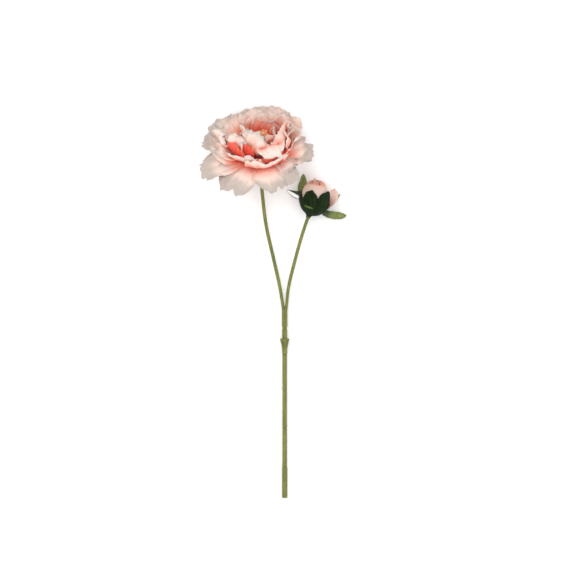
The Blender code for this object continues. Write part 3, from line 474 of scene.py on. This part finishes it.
    crown = dict(notch=0.05, tipWidth=0.84, waves=13, ruffle=3.4, crumple=5.4, frill=3.0)
    for azimuth, rib, width, cup, twist, dye in (
            (234, ((8, 10), (22, 16), (30, 47), (9, 58)), 42, 46, -4, -0.06),
            (202, ((8, 10), (22, 16), (34, 40), (25, 47)), 25, 20, 52, -0.08),
            (176, ((10, 10), (46, 14), (56, 30), (42, 36)), 30, 20, 42, 0.0),
            (272, ((6, 12), (20, 16), (30, 38), (17, 45)), 26, 40, 10, -0.32),
            (297, ((6, 12), (20, 34), (22, 60), (42, 38)), 38, -24, 4, -0.13),
            (328, ((6, 12), (28, 22), (37, 43), (20, 49)), 34, 40, -14, -0.16),
            (348, ((8, 10), (32, 16), (40, 42), (28, 52)), 30, 30, 34, -0.2),
            (10, ((8, 10), (28, 16), (34, 42), (28, 52)), 28, 30, -38, -0.16),
            (32, ((8, 10), (26, 18), (34, 40), (34, 52)), 28, 30, 32, -0.14)):
        add("crown", azimuth, rib, width, cup=cup, twist=twist, dye=dye, **crown)

    inner = dict(notch=0.06, tipWidth=0.84, waves=12, ruffle=3.0, crumple=4.4, cup=34, dye=-0.17, frill=1.8)
    for azimuth, out, up, width in ((345, 14, 48, 22), (15, 18, 46, 24), (50, 24, 45, 28), (85, 28, 44, 32),
                                    (118, 28, 45, 32), (150, 26, 46, 30), (186, 18, 47, 26), (240, 9, 46, 24),
                                    (300, 9, 46, 24)):
        add("inner", azimuth, ((4, 12), (14, 22), (0.8 * out + 6, 0.75 * up), (out, up)), width,
            twist=draw.uniform(-22, 22), **inner)
    return layers


petalGrid = dict(thickness=0.4, guard=(34, 42), bowl=(34, 34), crown=(32, 34), inner=(24, 28))


def makeBloom():
    for layer, petals in bloomLayers().items():
        bm = bmesh.new()
        for petal in petals:
            tone = math.sin(petal["seed"] * 3.3)
            addBlade(bm, lambda u, v: placed(bloomFrame, petalPoint(petal, u, v)), *petalGrid[layer], tone,
                     petal.get("dye", 0.0) - 0.1 + 0.05 * tone)
        if layer == "inner":
            turnedInto(bm, ((0, 0), (7.5, 0), (10.5, 2.5), (12.5, 6), (13.4, 10), (12.5, 14.6), (9, 18.2), (5, 19.4),
                            (0, 19.6)), 32, bloomFrame)
        finishPiece(layer + "Petals", bm, bloomCloth, ["bloom_petals"], petalGrid["thickness"])
    print("bloom made")


heart = dict(count=46, spread=6.6, top=42.5, foot=20.3, filament=0.32, lean=(3.5, 4.5), stray=0.6, shorter=4.5)
# How far along each filament, and its radius there as a share: the last four make the anther
filamentShape = ((0, 1), (0.3, 0.9), (0.6, 0.85), (0.84, 0.8), (0.88, 1.7), (0.94, 2.0), (1.0, 0.9))


def makeStamens():
    bm = bmesh.new()
    draw = random.Random(11)
    turnedInto(bm, ((0, heart["foot"]), (3.2, heart["foot"]), (3.4, heart["foot"] + 1), (2.6, heart["foot"] + 2.6),
                    (0, heart["foot"] + 3.2)), 20, bloomFrame)
    for i in range(heart["count"]):
        turn = i * math.radians(137.5)
        out = heart["spread"] * math.sqrt((i + 0.5) / heart["count"])
        up = heart["top"] - 0.05 * out ** 2 - draw.uniform(0, heart["shorter"])
        away = Vector((math.cos(turn), math.sin(turn), 0))
        start = away * 0.3 * out + Vector((0, 0, heart["foot"] + 1.5))
        lean = [amount + draw.uniform(-heart["stray"], heart["stray"]) for amount in heart["lean"]]
        end = away * out + Vector((*lean, up))
        belly = away * out * 0.9 + Vector((0, 0, heart["foot"] + 9))
        curve = (start, belly, belly.lerp(end, 0.6), end)
        addTube(bm, [cubic(curve, s)[0] for s, share in filamentShape],
                [heart["filament"] * share for s, share in filamentShape], 6, bloomFrame)
    finishPiece("stamenTuft", bm, stamenFoam, ["stamens"])
    print("stamens made")


bloomSepal = dict(rib=((6, -3.4), (12, -4.4), (18, -3.0), (24, -0.5)), width=13, claw=0.6, cup=-14, ruffle=0.5,
                  waves=6, crumple=0.6, notch=0.0, notchAt=0.0, tipWidth=0.3, widest=0.45, frill=0.3, pleat=0.08)


def makeBloomCalyx():
    bm = bmesh.new()
    bore = plugs["bloom"] / 2 + plugs["gap"]
    turnedInto(bm, ((0, -8), (bore, -8), (bore, -12.9), (bore + 0.7, -13), (bore + 1.1, -12), (bore + 1.3, -9),
                    (4.6, -6.6), (5.8, -5), (7.4, -3.4), (8.2, -2.2), (8.2, -0.9), (0, -0.8)), 36, bloomFrame)
    for i in range(5):
        sepal = dict(bloomSepal, azimuth=234 + 72 * i, seed=3.0 * i)
        blade = bmesh.new()
        addBlade(blade, lambda u, v: placed(bloomFrame, petalPoint(sepal, u, v)), 16, 18)
        bmesh.ops.solidify(blade, geom=blade.faces[:], thickness=0.7)
        bmesh.ops.recalc_face_normals(blade, faces=blade.faces)
        leaf = bpy.data.meshes.new("sepal")
        blade.to_mesh(leaf)
        blade.free()
        bm.from_mesh(leaf)
        bpy.data.meshes.remove(leaf)
    finishPiece("bloomCalyx", bm, calyxPlastic, ["bloom_calyx"])
    print("bloom calyx made")


# Bud

def budSide(radius, share):
    # A point on the bud's side, a share of half a turn from its foot, for an egg of that radius
    turn = math.pi * share
    if share > 0.5:
        bulge = max(0.0, math.sin(turn)) ** bud["upperFullness"]
        return Vector((radius * bulge, bud["middle"] - bud["upperStretch"] * radius * math.cos(turn)))
    return Vector((radius * math.sin(turn), bud["middle"] - bud["lowerStretch"] * radius * math.cos(turn)))


def roundAxis(side, azimuth):
    return Vector((side.x * math.cos(azimuth), side.x * math.sin(azimuth), side.y))


def budPetalPoint(petal, u, v):
    half = halfWidth(petal, v)
    reach = 1 - 0.10 * u * u * v - 0.03 * math.exp(-((u - petal["notchAt"]) / 0.2) ** 2) * v ** 4
    reach += 0.008 * math.sin(11 * u + petal["azimuth"]) * v ** 4
    share = 0.1 + (petal["last"] - 0.1) * v * reach
    grown = min(1.0, v / 0.35)
    radius = petal["root"] + (petal["radius"] - petal["root"]) * grown
    ripple = v * (1 - 0.6 * v ** 3)
    radius += 0.25 * math.sin(5 * u + petal["azimuth"]) * ripple + 0.12 * math.sin(13 * u + petal["azimuth"]) * ripple
    radius += 0.08 * math.sin(31 * u) * ripple + 0.35 * noise.noise(Vector((u * 2.5, v * 4, petal["azimuth"]))) * ripple
    side = budSide(radius, share)
    swing = max(-1.5, min(1.5, u * half / max(side.x, 1.0)))
    return roundAxis(side, math.radians(petal["azimuth"]) + swing)


# Each petal of the bud: its azimuth, how far inside the bud's radius, how far up the side its tip comes, its
# width, its tip's width as a share and its shift of dye
budRows = ((258, 0.0, 0.79, 40, 0.82, -0.24), (20, 0.5, 0.94, 38, 1.0, 0.0), (140, 0.5, 0.95, 40, 1.0, 0.0),
           (320, 1.3, 0.985, 34, 1.0, 0.0), (80, 1.3, 0.985, 34, 1.0, 0.0), (200, 1.3, 0.985, 34, 1.0, 0.0))


def makeBudPetals():
    bm = bmesh.new()
    coreRadius = bud["radius"] - 3.1
    for azimuth, inset, last, width, tipWidth, dye in budRows:
        petal = dict(azimuth=azimuth, last=last, width=width, root=coreRadius - 1.5, radius=bud["radius"] - inset,
                     claw=0.35, tipWidth=tipWidth, notchAt=math.sin(azimuth) * 0.4)
        addBlade(bm, lambda u, v: budFrame @ budPetalPoint(petal, u, v), 32, 36, math.sin(azimuth), dye)
    turnedInto(bm, [tuple(budSide(coreRadius, i / 20)) for i in range(21)], 32, budFrame)
    top = bud["middle"] + bud["upperStretch"] * bud["radius"]
    nubPlace = budFrame @ Matrix.Translation((-3.0, -1.5, -0.6))
    turnedInto(bm, ((0, top - 4), (3.2, top - 3.4), (2.6, top - 1.6), (1.5, top), (0.9, top + 1.2), (0.4, top + 2.0),
                    (0, top + 2.2)), 18, nubPlace)
    finishPiece("budPetals", bm, budCloth, ["bud_petals"], bud["cloth"])
    print("bud petals made")


# Each sepal of the bud: azimuth of its middle, half its width in degrees, its tip up the side, how far its
# tip stands out, and its layer
budSepals = ((174, 48, 0.60, 0.3, 0.0), (95, 44, 0.59, 0.0, 0.25), (28, 40, 0.60, 0.5, 0.0),
             (252, 33, 0.64, 0.5, 0.25), (334, 58, 0.655, 0.1, 0.5))
notchEnd = 0.425


def neckTurn():
    # The neck sits off to the left of the cup's foot
    middle = Vector((0, 0, bud["middle"]))
    tilt = Matrix.Rotation(math.radians(bud["neckTilt"]), 4, 'Y')
    return Matrix.Translation(middle) @ tilt @ Matrix.Translation(-middle)


foldLine = dict(left=-11.5, run=11.2, height=11.7, drop=2.0, width=0.75)


def calyxFoldAndHighlight(place):
    # A pressed fold that runs down to the right across the cup's front; a painted highlight makes it lighter than the
    # rest
    along = (place.x - foldLine["left"]) / foldLine["run"]
    if place.y > 0 or not 0.0 < along < 1.0:
        return 0.0
    away = (place.z - foldLine["height"] + foldLine["drop"] * along) / foldLine["width"]
    return math.exp(-away ** 2) * math.sin(math.pi * along) ** 0.5


def sepalPoint(row, u, v):
    # The sepals part where the notches between them end, and overlap below that
    centre, half, tip, stand, layer = row
    reach = notchEnd + (tip - notchEnd) * max(0.0, math.cos(math.pi / 2 * u)) ** 0.4
    reach += 0.006 * math.sin(9 * u + centre) * v ** 3
    radius = bud["sepalRadius"] - 0.25 + layer * (0.3 + 0.7 * v) + stand * v
    radius += 0.35 * math.exp(-(u / 0.07) ** 2) * v * (1 - v) * 2 + 0.07 * math.sin(36 * u + 3 * v) * v
    radius += 0.35 * abs(u) ** 6 * v + 0.3 * noise.noise(Vector((u * 2 + centre, v * 3, layer))) * v
    share, azimuth = reach * (0.03 + 0.97 * v), math.radians(centre + half * u)
    radius += 0.6 * calyxFoldAndHighlight(roundAxis(budSide(radius, share), azimuth))
    return roundAxis(budSide(radius, share), azimuth)


def makeBudCalyx():
    bm = bmesh.new()
    for row in budSepals:
        addBlade(bm, lambda u, v: sepalPoint(row, u, v), 44, 44)
    # The fold's painted highlight
    setShade(bm, calyxFoldAndHighlight)
    bmesh.ops.transform(bm, matrix=budFrame, verts=bm.verts)
    finishPiece("budSepals", bm, calyxPlastic, ["bud_calyx"], bud["cloth"])
    bm = bmesh.new()
    bore = plugs["bud"] / 2 + plugs["gap"]
    foot = bud["middle"] - bud["lowerStretch"] * bud["sepalRadius"]
    neck = bud["neck"]
    turnedInto(bm, ((0, foot - 1), (bore, foot - 1), (bore, neck), (bore + 0.5, neck), (bore + 0.7, neck + 0.3),
                    (bore + 0.9, foot - 1.6), (bore + 1.5, foot - 0.5), (bore + 2.8, foot + 0.4), (0, foot + 0.6)), 32)
    setShade(bm, lambda place: 0.9 * max(0.0, (foot - 0.3 - place.z) / (foot - neck)) ** 1.6)
    bmesh.ops.transform(bm, matrix=budFrame @ neckTurn(), verts=bm.verts)
    finishPiece("budNeck", bm, calyxPlastic, ["bud_calyx"])
    print("bud calyx made")


def leafBlade(row, u, v):
    place, way = cubic(row["rib"], v)
    turnedBy = max(0.0, min(1.0, (v - 0.2) / 0.5))
    across = row["rootAcross"].lerp(row["tipAcross"], turnedBy * turnedBy * (3 - 2 * turnedBy))
    side = (across - way * across.dot(way)).normalized()
    up = side.cross(way)
    swell = row["rootShare"] + (1 - row["rootShare"]) * math.sin(math.pi / 2 * min(1.0, v / 0.5))
    narrowed = max(0.0, (v - row["blunt"]) / (1 - row["blunt"])) ** row["taper"]
    half = row["width"] / 2 * swell * (1 - 0.99 * narrowed) ** 0.6
    half *= 1 + 0.03 * math.sin(23 * v + 2 * u)
    fold = math.radians(row["fold"]) * turnedBy
    lift = abs(u) * half * math.sin(fold) + 0.25 * math.sin(21 * v) * abs(u) ** 2 * v
    return place + side * (u * half * math.cos(fold)) + up * lift


def makeBudLeaves():
    seat = bud["sepalRadius"] + bud["leafSeat"]

    def onCalyx(azimuth, share, off=0.0):
        return budFrame @ roundAxis(budSide(seat + off, share), math.radians(azimuth))

    back, left, right = onCalyx(152, 0.42, 0.1), onCalyx(186, 0.535, -0.25), onCalyx(32, 0.275, 0.3)
    backAlong = (onCalyx(152, 0.44, 0.1) - back).normalized()
    leftAlong = (onCalyx(186, 0.55) - onCalyx(186, 0.52)).normalized()
    rightAlong = (onCalyx(32, 0.29) - onCalyx(32, 0.27)).normalized()
    rows = dict(
        Back=dict(rib=(back, back + backAlong * 9, flower + Vector((22.0, 371, 2.6)),
                       flower + Vector((22.6, 388.4, 11))),
                  rootAcross=(onCalyx(150, 0.42, 0.1) - back).normalized(), tipAcross=Vector((1, 0, 0.1)), width=10.4,
                  rootShare=0.5, blunt=0.62, taper=2.2, fold=12),
        Left=dict(rib=(left, left + Vector((-4.5, 1, 1)), flower + Vector((7, 365.8, 21.5)),
                       flower + Vector((2.6, 369, 21))),
                  rootAcross=leftAlong, tipAcross=leftAlong, width=9.5, rootShare=1.0, blunt=0.05, taper=1.4, fold=20),
        Right=dict(rib=(right, right + Vector((8, -3.5, -0.5)), flower + Vector((63, 337.6, 10)),
                        flower + Vector((73.9, 338.4, 8))),
                   rootAcross=-rightAlong, tipAcross=Vector((0.05, -1, 0.2)), width=9.6, rootShare=0.75, blunt=0.55,
                   taper=2.4, fold=12))
    for name, row in rows.items():
        bm = bmesh.new()
        addBlade(bm, lambda u, v: leafBlade(row, u, v), 16, 30)
        cloth = foldedLeafCloth if name == "Left" else leafCloth
        finishPiece("budLeaf" + name, bm, cloth, ["bud_leaf_" + name.lower()], bud["leafCloth"])
    print("bud leaves made")


def makeSidePetal():
    seat = bud["sepalRadius"] + bud["petalSeat"]
    petal = dict(azimuth=1, rib=(tuple(budSide(seat + 0.3, 0.39)), (22.6, 15.0), (24.4, 26), (20.4, 35.4)), width=11.8,
                 claw=0.45, cup=24, ruffle=0.5, waves=7, crumple=0.5, notch=0.0, notchAt=0.2, tipWidth=0.84,
                 twist=84, seed=4.0, frill=0.3, pleat=0.12)
    sepal = dict(azimuth=19, rib=(tuple(budSide(seat, 0.34)), (20.5, 13), (24.5, 21), (31.2, 29.6)), width=8.4,
                 claw=0.5, cup=20, ruffle=0.0, waves=5, crumple=0.0, notch=0.0, notchAt=0.0, tipWidth=0.45,
                 widest=0.7, twist=35, seed=2.0, frill=0.1, pleat=0.05)
    for name, row, cloth, slot, node in (("budSidePetal", petal, sideCloth, "bud_petal", "bud_side_petal"),
                                         ("budSideSepal", sepal, leafCloth, "leaf", "bud_side_sepal")):
        bm = bmesh.new()
        addBlade(bm, lambda u, v: placed(budFrame, petalPoint(row, u, v)), 20, 28)
        finishPiece(name, bm, cloth, [node], bud["cloth"])
    print("side petal made")


# Stem

def stemAxis(place):
    rise = math.radians(stem["rise"])
    return flower + Vector((0, place * math.cos(rise), stem["diameter"] / 2 + place * math.sin(rise)))


stemFrame = Matrix.Translation(stemAxis(0)) @ Matrix.Rotation(-math.pi / 2 + math.radians(stem["rise"]), 4, 'X')
# Joint rings: how far from the cut end, and the side on which they are deepest in degrees
joints = ((37.3, 180), (65.4, 0), (84.2, 0), (128.5, 150))
ringCut = dict(depth=0.45, width=2.4, swell=0.35)


def makeMainStem():
    bm = bmesh.new()
    radius, length = stem["diameter"] / 2, stem["length"]
    heights = {0.35, 0.9, length - 1.0, length - 0.5}
    for place, side in joints:
        heights |= {place + step * 0.4 for step in range(-9, 14)}
    heights |= set(range(4, int(length) - 3, 4))
    profile = [(0, 0), (radius - 0.9, 0), (radius - 0.3, 0.05)]
    profile += [(radius, h) for h in sorted(heights)]
    # A stub closes the hairline gap to the collar's foot
    profile += [(radius - 0.4, length), (radius - 0.45, length + 0.35), (0, length + 0.35)]
    turnedInto(bm, profile, 40)

    def ringAt(height, angle):
        amount = 0.0
        for place, side in joints:
            facing = 0.55 + 0.45 * math.cos(angle - math.radians(side))
            amount -= ringCut["depth"] * facing * math.exp(-((height - place) / 0.55) ** 2)
            amount += ringCut["swell"] * facing * math.exp(-((height - place - 1.9) / 1.1) ** 2)
        return amount

    for vert in bm.verts:
        r, angle, height = math.hypot(vert.co.x, vert.co.y), math.atan2(vert.co.y, vert.co.x), vert.co.z
        change = ringAt(height, angle)
        lump = 0.10 * noise.noise(Vector((math.cos(angle) * 0.7, math.sin(angle) * 0.7, height * 0.06)))
        if r > radius - 0.5:
            foot = stem["footSwell"] * max(0.0, min(1.0, (joints[0][0] + 1 - height) / 2))
            vert.co.x *= (r + change + lump + foot) / r
            vert.co.y *= (r + change + lump + foot * stem["footLift"]) / r

    def shadeAt(place):
        # Painted shade in the grooves and on the two cut ends
        cut = 0.8 if place.z < 0.2 or place.z > length - 0.1 else 0.0
        groove = -ringAt(place.z, math.atan2(place.y, place.x)) / ringCut["depth"]
        return cut + max(0.0, groove) * 0.8

    setShade(bm, shadeAt)
    bmesh.ops.transform(bm, matrix=stemFrame, verts=bm.verts)
    finishPiece("stemLower", bm, stemPlastic, ["main_stem"])
    print("main stem made")


collar = dict(lip=5.6, foot=3.0, bottom=172.1, top=191.2, socket=7.0, ribs=5, ribHeight=0.4)


def makeCollar():
    bm = bmesh.new()
    top, bottom, lip, foot = collar["top"], collar["bottom"], collar["lip"], collar["foot"]
    bore, floor = plugs["collar"] / 2 + plugs["gap"], top - collar["socket"]
    body = [(foot, bottom + 1.0), (foot + 0.1, bottom + 4.0), (foot + 0.2, bottom + 7.0), (foot + 0.6, bottom + 9.5),
            (foot + 1.0, bottom + 12.0), (lip - 0.9, top - 4.2), (lip - 0.4, top - 2.6), (lip, top - 1.2),
            (lip, top - 0.7)]
    socket = [(lip - 0.25, top), (bore + 0.7, top), (bore, top - 0.8), (bore, floor), (0, floor)]
    turnedInto(bm, [(0, bottom), (foot - 0.5, bottom)] + body + socket, 50)
    shadeLayer = bm.verts.layers.float.new("shade")
    for vert in bm.verts:
        r, angle = math.hypot(vert.co.x, vert.co.y), math.atan2(vert.co.y, vert.co.x)
        up = (vert.co.z - bottom) / (top - bottom)
        # One rib faces up, and the lip's edge follows the ribs
        rib = math.cos(collar["ribs"] * (angle + math.pi / 2))
        strength = math.exp(-((up - 0.66) / 0.2) ** 2)
        if r > foot - 0.2:
            scale = 1 + collar["ribHeight"] * (rib - 0.6) * strength / r
            vert.co.x *= scale
            vert.co.y *= scale
        # Painted shade in the hollows between the ribs, inside the socket and on the underside
        vert[shadeLayer] = max(0.0, min(1.0, 0.75 * strength * (0.5 - 0.5 * rib))) if r > foot else 0.7
    bmesh.ops.transform(bm, matrix=stemFrame, verts=bm.verts)
    finishPiece("stemCollar", bm, stemPlastic, ["stem_collar"])
    print("collar made")


fork = dict(neck=5.5, sleeve=6.75, seam=203.8, top=229.6, bloomBranch=4.3, budBranch=4.15, voxel=0.42)


def branchRoutes():
    split = stemAxis(fork["top"] - 11.0)
    bloomNeck = [bloomFrame @ Vector((0, 0, -bloom["cupDepth"] + up)) for up in (-9.0, -2.0, 4.7)]
    foot = bud["middle"] - bud["lowerStretch"] * bud["sepalRadius"] - 1.3
    budNeck = [budFrame @ neckTurn() @ Vector((0, 0, up)) for up in (bud["neck"] - 6.0, bud["neck"] - 1.0, foot)]
    bloomRoute = [split + Vector((-1.2, 0, 0))] + [flower + Vector(p) for p in (
        (-2.45, 232.2, 6.2), (-6.7, 257.4, 7.0), (-12.9, 284.9, 8.5), (-22.1, 326.3, 11.8), (-26.6, 363.0, 17.0))]
    budRoute = [split + Vector((1.3, 0, 0))] + [flower + Vector(p) for p in (
        (2.35, 232.2, 6.2), (4.7, 253.2, 7.0), (10.9, 279.4, 8.8), (19.5, 311.0, 12.6))]
    return smoothRoute(bloomRoute + bloomNeck, 8), smoothRoute(budRoute + budNeck, 8)


def makeFork():
    bm = bmesh.new()
    neck, sleeve, seam, top = fork["neck"] / 2, fork["sleeve"] / 2, fork["seam"], fork["top"]
    foot = collar["top"] - collar["socket"] + 0.3
    turnedInto(bm, ((0, foot), (neck - 0.4, foot), (neck, foot + 0.6), (neck, foot + 7.0), (neck + 0.4, foot + 8.0),
                    (neck + 0.4, seam - 3.0), (neck + 0.5, seam - 1.6), (neck - 0.4, seam - 0.2),
                    (neck - 0.4, seam + 0.4), (sleeve - 0.3, seam + 1.4), (sleeve, seam + 2.2), (sleeve, seam + 10),
                    (sleeve, top - 5.0), (sleeve - 0.8, top - 1.5), (0, top)), 40, stemFrame)
    bloomRoute, budRoute = branchRoutes()
    # The branches are thinner where they leave the sleeve
    for route, width in ((bloomRoute, fork["bloomBranch"]), (budRoute, fork["budBranch"])):
        addTube(bm, route, [width / 2 * min(1.0, 0.8 + 0.01 * i) for i in range(len(route))], 24)
    # Moulded in one piece: a fine remesh joins the three, and the smoothing leaves soft fillets
    rough = bpy.data.meshes.new("forkRough")
    bm.to_mesh(rough)
    bm.free()
    mould = bpy.data.objects.new("forkRough", rough)
    scene.collection.objects.link(mould)
    remesh = mould.modifiers.new("remesh", 'REMESH')
    remesh.mode = 'VOXEL'
    remesh.voxel_size = fork["voxel"]
    ease = mould.modifiers.new("ease", 'SMOOTH')
    ease.iterations = 6
    bm = bmesh.new()
    bm.from_object(mould, bpy.context.evaluated_depsgraph_get())
    bpy.data.objects.remove(mould)
    bpy.data.meshes.remove(rough)
    crotch = stemAxis(top - 1.5)

    def shadeAt(place):
        # Painted shade in the groove below the crotch and along the seam's notch
        along = place.y - crotch.y
        groove = math.exp(-((place.x - crotch.x) / 0.5) ** 2) * (1 if place.z > crotch.z else 0)
        groove *= max(0.0, min(1.0, (along + 15) / 5)) * max(0.0, min(1.0, (6 - along) / 3))
        seamShade = math.exp(-((place.y - stemAxis(seam).y) / 0.45) ** 2)
        return 0.85 * groove + 0.7 * seamShade

    setShade(bm, shadeAt)
    finishPiece("stemFork", bm, stemPlastic, ["forked_stem"])
    print("forked stem made")


# Floor, light and camera

photo = dict(size=570, pixel=1.2, across=284.7, down=497.8, height=8000.0)
studio = dict(floorHalf=15.0, floorDrop=0.2, sky="#f4f4f6", skyStrength=1.18, lightSize=1.6, aim=(0, 0.05, 0.03),
              lights=(("keyLight", (-0.5, 0.4, 2.3), 17), ("fillLight", (0.9, -0.9, 2.0), 7)))


def makeStage():
    bm = bmesh.new()
    bmesh.ops.create_grid(bm, x_segments=1, y_segments=1, size=studio["floorHalf"])
    mesh = bpy.data.meshes.new("floor")
    bm.to_mesh(mesh)
    bm.free()
    floor = bpy.data.objects.new("floor", mesh)
    floor.location.z = -studio["floorDrop"] * mm
    scene.collection.objects.link(floor)
    made, tree, shader = newMaterial("mattePaper", 0.9)
    place = addNode(tree, "ShaderNodeTexCoord").outputs["Object"]
    fibre = addNode(tree, "ShaderNodeTexNoise", Vector=place, Scale=900.0, Detail=3.0).outputs[0]
    tree.links.new(addRamp(tree, fibre, ((0.3, "#fbfaf9"), (0.7, "#fefefd"))), shader.inputs["Base Color"])
    mesh.materials.append(made)

    world = bpy.data.worlds.new("studio")
    scene.world = world
    world.use_nodes = True
    sky = world.node_tree.nodes["Background"]
    sky.inputs["Color"].default_value = hexColor(studio["sky"])
    sky.inputs["Strength"].default_value = studio["skyStrength"]
    for name, spot, power in studio["lights"]:
        light = bpy.data.lights.new(name, 'AREA')
        light.size = studio["lightSize"]
        light.energy = power
        lamp = bpy.data.objects.new(name, light)
        lamp.location = spot
        lamp.rotation_euler = (Vector(studio["aim"]) - Vector(spot)).to_track_quat('-Z', 'Y').to_euler()
        scene.collection.objects.link(lamp)

    camera = bpy.data.cameras.new("camera")
    camera.sensor_width = 36
    camera.lens = 36 * photo["height"] / (photo["size"] * photo["pixel"])
    view = bpy.data.objects.new("camera", camera)
    middle = photo["size"] / 2
    spot = flower + Vector(((middle - photo["across"]) * photo["pixel"], (photo["down"] - middle) * photo["pixel"], 0))
    view.location = Vector((spot.x, spot.y, photo["height"])) * mm
    scene.collection.objects.link(view)
    scene.camera = view
    scene.view_settings.view_transform = 'Standard'
    print("stage made")


makeMainStem()
makeCollar()
makeFork()
makeBloomCalyx()
makeBloom()
makeStamens()
makeBudCalyx()
makeBudPetals()
makeSidePetal()
makeBudLeaves()
makeStage()
